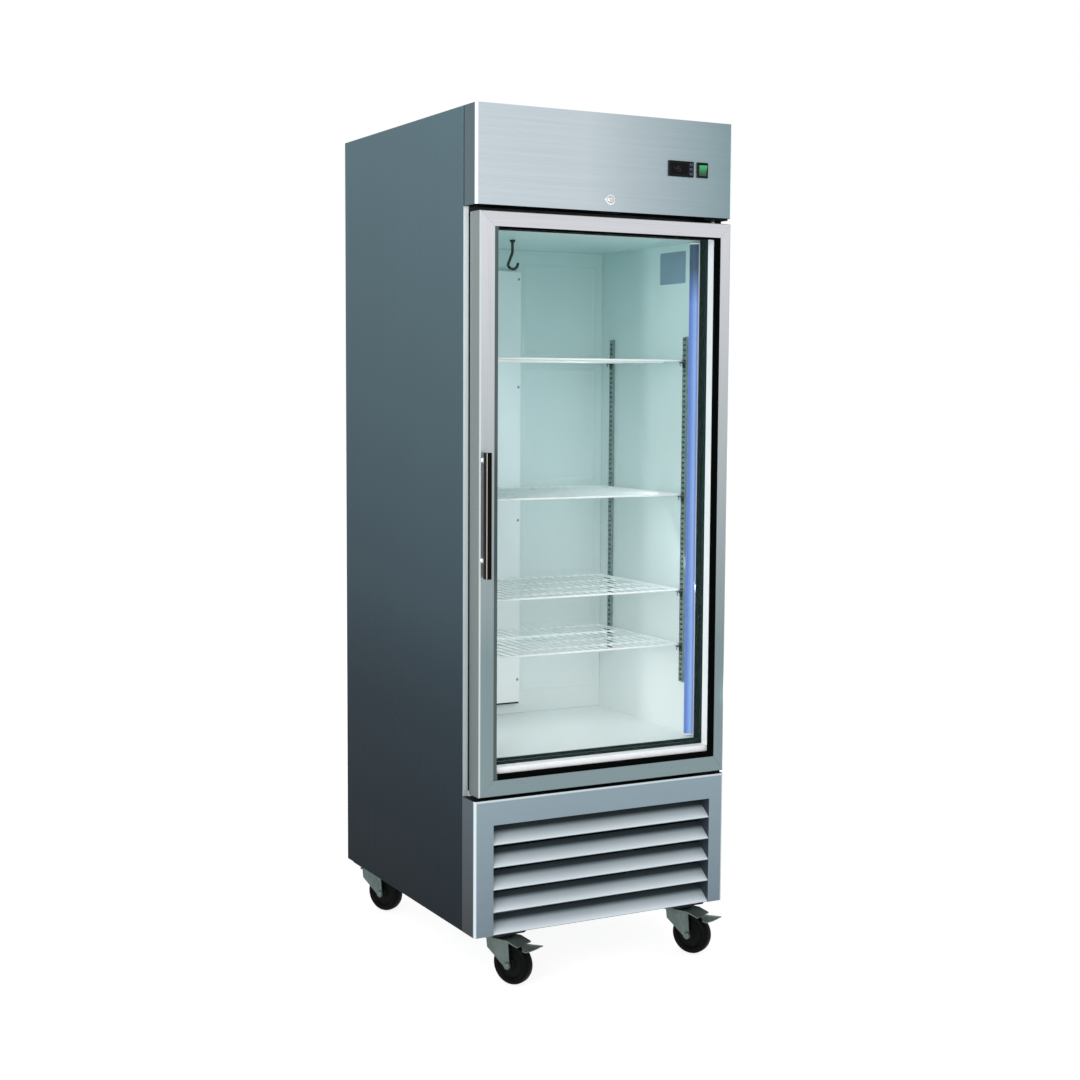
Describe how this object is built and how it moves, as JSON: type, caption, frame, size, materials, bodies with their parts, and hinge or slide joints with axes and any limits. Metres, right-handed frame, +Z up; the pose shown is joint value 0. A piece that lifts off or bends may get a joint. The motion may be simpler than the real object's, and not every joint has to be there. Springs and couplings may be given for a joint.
{
  "type": "reach-in refrigerator",
  "caption": "Upright commercial reach-in refrigerator with a glass door, wire shelves, louvred base panel and swivel casters.",
  "frame": {"origin": "on the floor under the middle of the overall footprint", "axes": "+Z up, -Y out of the front, +X towards the hinge side of the door"},
  "size_m": [0.686, 0.8412, 2.032],
  "materials": {
    "side_steel": "satin stainless sheet, dark slate on the sides",
    "brushed_steel": "brushed stainless sheet",
    "galvanised": "galvanised sheet",
    "insulation": null,
    "white_liner": "white coated aluminium",
    "wire_white": "white coated steel wire",
    "pilaster_steel": "zinc plated",
    "aluminium": "mill finish",
    "black_plastic": "black moulded or extruded plastic",
    "black_metal": "black paint",
    "gasket_rubber": "soft magnetic door seal",
    "wheel_rubber": "black tread",
    "zinc": "grey-green zinc plate",
    "chrome": "polished",
    "clear_glass": "clear double glazing",
    "led_light": "blue-white lit diffuser",
    "lit_green": "lit green rocker",
    "key_grey": "moulded"
  },
  "bodies": {
    "cabinet": {"side_panel_left": "side_steel", "side_panel_right": "side_steel", "top_panel": "side_steel", "rear_panel": "galvanised", "base_tray": "galvanised", "hinge_bracket_top": "galvanised", "hinge_bracket_bottom": "galvanised", "insulation_foam": "insulation", "inner_liner": "white_liner", "evaporator_cover": "white_liner", "pilaster_left_front": "pilaster_steel", "pilaster_left_rear": "pilaster_steel", "pilaster_right_front": "pilaster_steel", "pilaster_right_rear": "pilaster_steel", "header_hood": "brushed_steel", "grille_panel": "brushed_steel", "controller_body": "black_plastic", "switch_housing": "black_plastic", "lock_barrel": "chrome", "led_strip": "led_light", "ceiling_hook": "black_metal", "evaporator_coil": "aluminium", "condenser_coil": "black_metal", "compressor": "black_metal", "caster_plate_front_left": "zinc", "caster_plate_front_right": "zinc", "caster_plate_rear_left": "zinc", "caster_plate_rear_right": "zinc"},
    "door": {"door_stile_left": "brushed_steel", "door_stile_right": "brushed_steel", "door_rail_top": "brushed_steel", "door_rail_bottom": "brushed_steel", "glass_front": "clear_glass", "glass_rear": "clear_glass", "glass_spacer": "aluminium", "glazing_bead": "black_plastic", "door_inner_frame": "black_plastic", "door_gasket": "gasket_rubber", "door_handle": "black_plastic"},
    "shelf_1": {"shelf_1": "wire_white"},
    "shelf_2": {"shelf_2": "wire_white"},
    "shelf_3": {"shelf_3": "wire_white"},
    "shelf_4": {"shelf_4": "wire_white"},
    "lock_plug": {"lock_plug": "chrome"},
    "switch_rocker": {"switch_rocker": "lit_green"},
    "key_up": {"key_up": "key_grey"},
    "key_set": {"key_set": "key_grey"},
    "key_down": {"key_down": "key_grey"},
    "condenser_fan": {"condenser_fan": "black_metal"},
    "evaporator_fan": {"evaporator_fan": "black_plastic"},
    "caster_fork_front_left": {"caster_fork_front_left": "zinc"},
    "caster_wheel_front_left": {"caster_wheel_front_left": "wheel_rubber"},
    "caster_fork_front_right": {"caster_fork_front_right": "zinc"},
    "caster_wheel_front_right": {"caster_wheel_front_right": "wheel_rubber"},
    "caster_fork_rear_left": {"caster_fork_rear_left": "zinc"},
    "caster_wheel_rear_left": {"caster_wheel_rear_left": "wheel_rubber"},
    "caster_fork_rear_right": {"caster_fork_rear_right": "zinc"},
    "caster_wheel_rear_right": {"caster_wheel_rear_right": "wheel_rubber"},
    "brake_pedal_front_left": {"brake_pedal_front_left": "zinc"},
    "brake_pedal_front_right": {"brake_pedal_front_right": "zinc"}
  },
  "joints": [
    {"name": "door_hinge", "type": "hinge", "parent": "cabinet", "child": "door", "pos_m": [0.326, -0.338, 1.1255], "axis": [0, 0, 1], "range_deg": [0, 110]},
    {"name": "shelf_1_lift", "type": "slide", "parent": "cabinet", "child": "shelf_1", "axis": [0, 0, 1], "range_m": [0, 0.02]},
    {"name": "shelf_2_lift", "type": "slide", "parent": "cabinet", "child": "shelf_2", "axis": [0, 0, 1], "range_m": [0, 0.02]},
    {"name": "shelf_3_lift", "type": "slide", "parent": "cabinet", "child": "shelf_3", "axis": [0, 0, 1], "range_m": [0, 0.02]},
    {"name": "shelf_4_lift", "type": "slide", "parent": "cabinet", "child": "shelf_4", "axis": [0, 0, 1], "range_m": [0, 0.02]},
    {"name": "lock_turn", "type": "hinge", "parent": "cabinet", "child": "lock_plug", "pos_m": [0.003, -0.372, 1.835], "axis": [0, 1, 0], "range_deg": [0, 90]},
    {"name": "rocker_tilt", "type": "hinge", "parent": "cabinet", "child": "switch_rocker", "pos_m": [0.256, -0.3715, 1.9175], "axis": [1, 0, 0], "range_deg": [-18, 0]},
    {"name": "key_up_press", "type": "slide", "parent": "cabinet", "child": "key_up", "axis": [0, 1, 0], "range_m": [0, 0.0008], "stiffness_N_per_m": 400},
    {"name": "key_set_press", "type": "slide", "parent": "cabinet", "child": "key_set", "axis": [0, 1, 0], "range_m": [0, 0.0008], "stiffness_N_per_m": 400},
    {"name": "key_down_press", "type": "slide", "parent": "cabinet", "child": "key_down", "axis": [0, 1, 0], "range_m": [0, 0.0008], "stiffness_N_per_m": 400},
    {"name": "condenser_fan_spin", "type": "hinge", "parent": "cabinet", "child": "condenser_fan", "pos_m": [-0.06, -0.202, 0.282], "axis": [0, 1, 0], "continuous": true},
    {"name": "evaporator_fan_spin", "type": "hinge", "parent": "cabinet", "child": "evaporator_fan", "pos_m": [0, 0.268, 0.73], "axis": [0, 0, 1], "continuous": true},
    {"name": "swivel_front_left", "type": "hinge", "parent": "cabinet", "child": "caster_fork_front_left", "pos_m": [-0.25, -0.3264, 0.108], "axis": [0, 0, 1], "continuous": true},
    {"name": "roll_front_left", "type": "hinge", "parent": "caster_fork_front_left", "child": "caster_wheel_front_left", "pos_m": [-0.23411, -0.35758, 0.05], "axis": [0.891, 0.454, 0], "continuous": true},
    {"name": "brake_front_left", "type": "hinge", "parent": "caster_fork_front_left", "child": "brake_pedal_front_left", "pos_m": [-0.21936, -0.38654, 0.1], "axis": [0.891, 0.454, 0], "range_deg": [0, 14]},
    {"name": "swivel_front_right", "type": "hinge", "parent": "cabinet", "child": "caster_fork_front_right", "pos_m": [0.25, -0.3264, 0.108], "axis": [0, 0, 1], "continuous": true},
    {"name": "roll_front_right", "type": "hinge", "parent": "caster_fork_front_right", "child": "caster_wheel_front_right", "pos_m": [0.26589, -0.35758, 0.05], "axis": [0.891, 0.454, 0], "continuous": true},
    {"name": "brake_front_right", "type": "hinge", "parent": "caster_fork_front_right", "child": "brake_pedal_front_right", "pos_m": [0.28064, -0.38654, 0.1], "axis": [0.891, 0.454, 0], "range_deg": [0, 14]},
    {"name": "swivel_rear_left", "type": "hinge", "parent": "cabinet", "child": "caster_fork_rear_left", "pos_m": [-0.2875, 0.3486, 0.108], "axis": [0, 0, 1], "continuous": true},
    {"name": "roll_rear_left", "type": "hinge", "parent": "caster_fork_rear_left", "child": "caster_wheel_rear_left", "pos_m": [-0.27161, 0.31742, 0.05], "axis": [0.891, 0.454, 0], "continuous": true},
    {"name": "swivel_rear_right", "type": "hinge", "parent": "cabinet", "child": "caster_fork_rear_right", "pos_m": [0.2875, 0.3486, 0.108], "axis": [0, 0, 1], "continuous": true},
    {"name": "roll_rear_right", "type": "hinge", "parent": "caster_fork_rear_right", "child": "caster_wheel_rear_right", "pos_m": [0.30339, 0.31742, 0.05], "axis": [0.891, 0.454, 0], "continuous": true}
  ]
}
